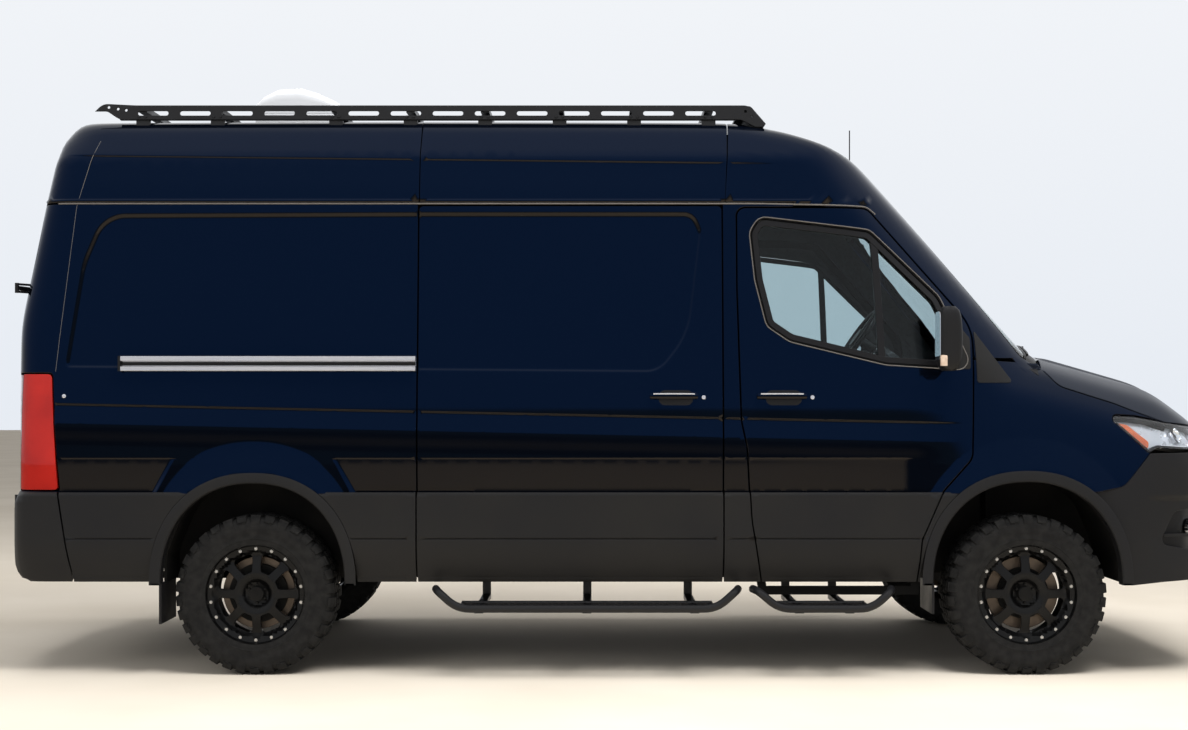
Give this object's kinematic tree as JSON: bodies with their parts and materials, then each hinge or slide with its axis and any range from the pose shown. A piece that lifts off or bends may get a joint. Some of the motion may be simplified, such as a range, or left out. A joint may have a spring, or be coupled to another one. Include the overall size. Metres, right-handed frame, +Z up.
{
  "type": "camper van",
  "caption": "High-roof panel van fitted out as a camper: opening doors and bonnet, steered front wheels, roof rack and fan, side steps, all-terrain tyres.",
  "frame": {"origin": "on the ground, under the middle of the van's length and width", "axes": "+X forward, +Y to the van's left, +Z up"},
  "size_m": [5.932, 2.344, 2.9438],
  "materials": {
    "paint": "gloss navy-tinted black paint",
    "tyre": "matt rubber",
    "wheel_black": "satin black",
    "glass": "clear tinted",
    "grey_plastic": "grained dark grey",
    "red_lens": "red lens",
    "clear_lens": "clear lens over chrome",
    "chassis": "matt black steel",
    "bright_metal": "brushed",
    "black_metal": "textured black powder coat",
    "white_plastic": "white moulded",
    "black_plastic": "black moulded",
    "seat_fabric": "dark woven"
  },
  "bodies": {
    "root": {"antenna": "black_metal", "body_cladding": "grey_plastic", "cab_frame": "paint", "cladding_sliding_door": "grey_plastic", "dashboard": "black_plastic", "engine": "chassis", "fenders": "paint", "floor": "chassis", "front_axle": "chassis", "front_bumper": "grey_plastic", "grille": "grey_plastic", "headlamps": "clear_lens", "mud_flaps": "grey_plastic", "pillar_right": "paint", "rear_axle": "chassis", "rear_bumper": "grey_plastic", "roof_fan": "white_plastic", "roof_front": "paint", "roof_middle": "paint", "roof_rack": "black_metal", "roof_rear": "paint", "seats": "seat_fabric", "side_left": "paint", "side_right": "paint", "side_steps": "black_metal", "sliding_door": "paint", "sliding_door_rail": "bright_metal", "tail_lamps": "red_lens", "wheelhouses": "grey_plastic", "windscreen": "glass"},
    "door_left": {"door_left": "paint", "door_glass_left": "glass", "cladding_left_door": "grey_plastic", "mirror_left": "black_plastic"},
    "door_right": {"door_right": "paint", "door_glass_right": "glass", "cladding_right_door": "grey_plastic", "mirror_right": "black_plastic"},
    "rear_door_left": {"rear_door_left": "paint"},
    "rear_door_right": {"rear_door_right": "paint"},
    "bonnet": {"bonnet": "paint"},
    "steering_wheel": {"steering_wheel": "black_plastic"},
    "knuckle_left": {"knuckle_left": "chassis"},
    "knuckle_right": {"knuckle_right": "chassis"},
    "wheel_front_left": {"rim_front_left": "wheel_black", "tyre_front_left": "tyre"},
    "wheel_front_right": {"rim_front_right": "wheel_black", "tyre_front_right": "tyre"},
    "wheel_rear_left": {"rim_rear_left": "wheel_black", "tyre_rear_left": "tyre"},
    "wheel_rear_right": {"rim_rear_right": "wheel_black", "tyre_rear_right": "tyre"}
  },
  "joints": [
    {"name": "door_left_open", "type": "hinge", "parent": "root", "child": "door_left", "pos_m": [1.722, 1.012, 1.285], "axis": [0, 0, -1], "range_deg": [0, 70]},
    {"name": "door_right_open", "type": "hinge", "parent": "root", "child": "door_right", "pos_m": [1.722, -1.012, 1.285], "axis": [0, 0, 1], "range_deg": [0, 70]},
    {"name": "rear_door_left_open", "type": "hinge", "parent": "root", "child": "rear_door_left", "pos_m": [-2.8669, 0.87, 1.335], "axis": [0, 0, -1], "range_deg": [0, 180]},
    {"name": "rear_door_right_open", "type": "hinge", "parent": "root", "child": "rear_door_right", "pos_m": [-2.8669, -0.87, 1.335], "axis": [0, 0, 1], "range_deg": [0, 180]},
    {"name": "bonnet_open", "type": "hinge", "parent": "root", "child": "bonnet", "pos_m": [2.021, 0, 1.556], "axis": [0, -1, 0], "range_deg": [0, 60]},
    {"name": "steer_left", "type": "hinge", "parent": "root", "child": "knuckle_left", "pos_m": [1.962, 0.735, 0.38], "axis": [0, 0, 1], "range_deg": [-34, 34]},
    {"name": "steer_right", "type": "hinge", "parent": "root", "child": "knuckle_right", "pos_m": [1.962, -0.735, 0.38], "axis": [0, 0, 1], "range_deg": [-34, 34]},
    {"name": "wheel_front_left_spin", "type": "hinge", "parent": "knuckle_left", "child": "wheel_front_left", "pos_m": [1.962, 0.855, 0.38], "axis": [0, 1, 0], "continuous": true},
    {"name": "wheel_rear_left_spin", "type": "hinge", "parent": "root", "child": "wheel_rear_left", "pos_m": [-1.703, 0.855, 0.38], "axis": [0, 1, 0], "continuous": true},
    {"name": "wheel_front_right_spin", "type": "hinge", "parent": "knuckle_right", "child": "wheel_front_right", "pos_m": [1.962, -0.855, 0.38], "axis": [0, 1, 0], "continuous": true},
    {"name": "wheel_rear_right_spin", "type": "hinge", "parent": "root", "child": "wheel_rear_right", "pos_m": [-1.703, -0.855, 0.38], "axis": [0, 1, 0], "continuous": true},
    {"name": "steering_wheel_turn", "type": "hinge", "parent": "root", "child": "steering_wheel", "pos_m": [1.387, 0.45, 1.65], "axis": [-0.8191, 0, 0.5736], "range_deg": [-510, 510]}
  ],
  "couplings": [
    {"joint": "steer_right", "follows": "steer_left", "ratio": 1},
    {"joint": "steering_wheel_turn", "follows": "steer_left", "ratio": 15}
  ]
}
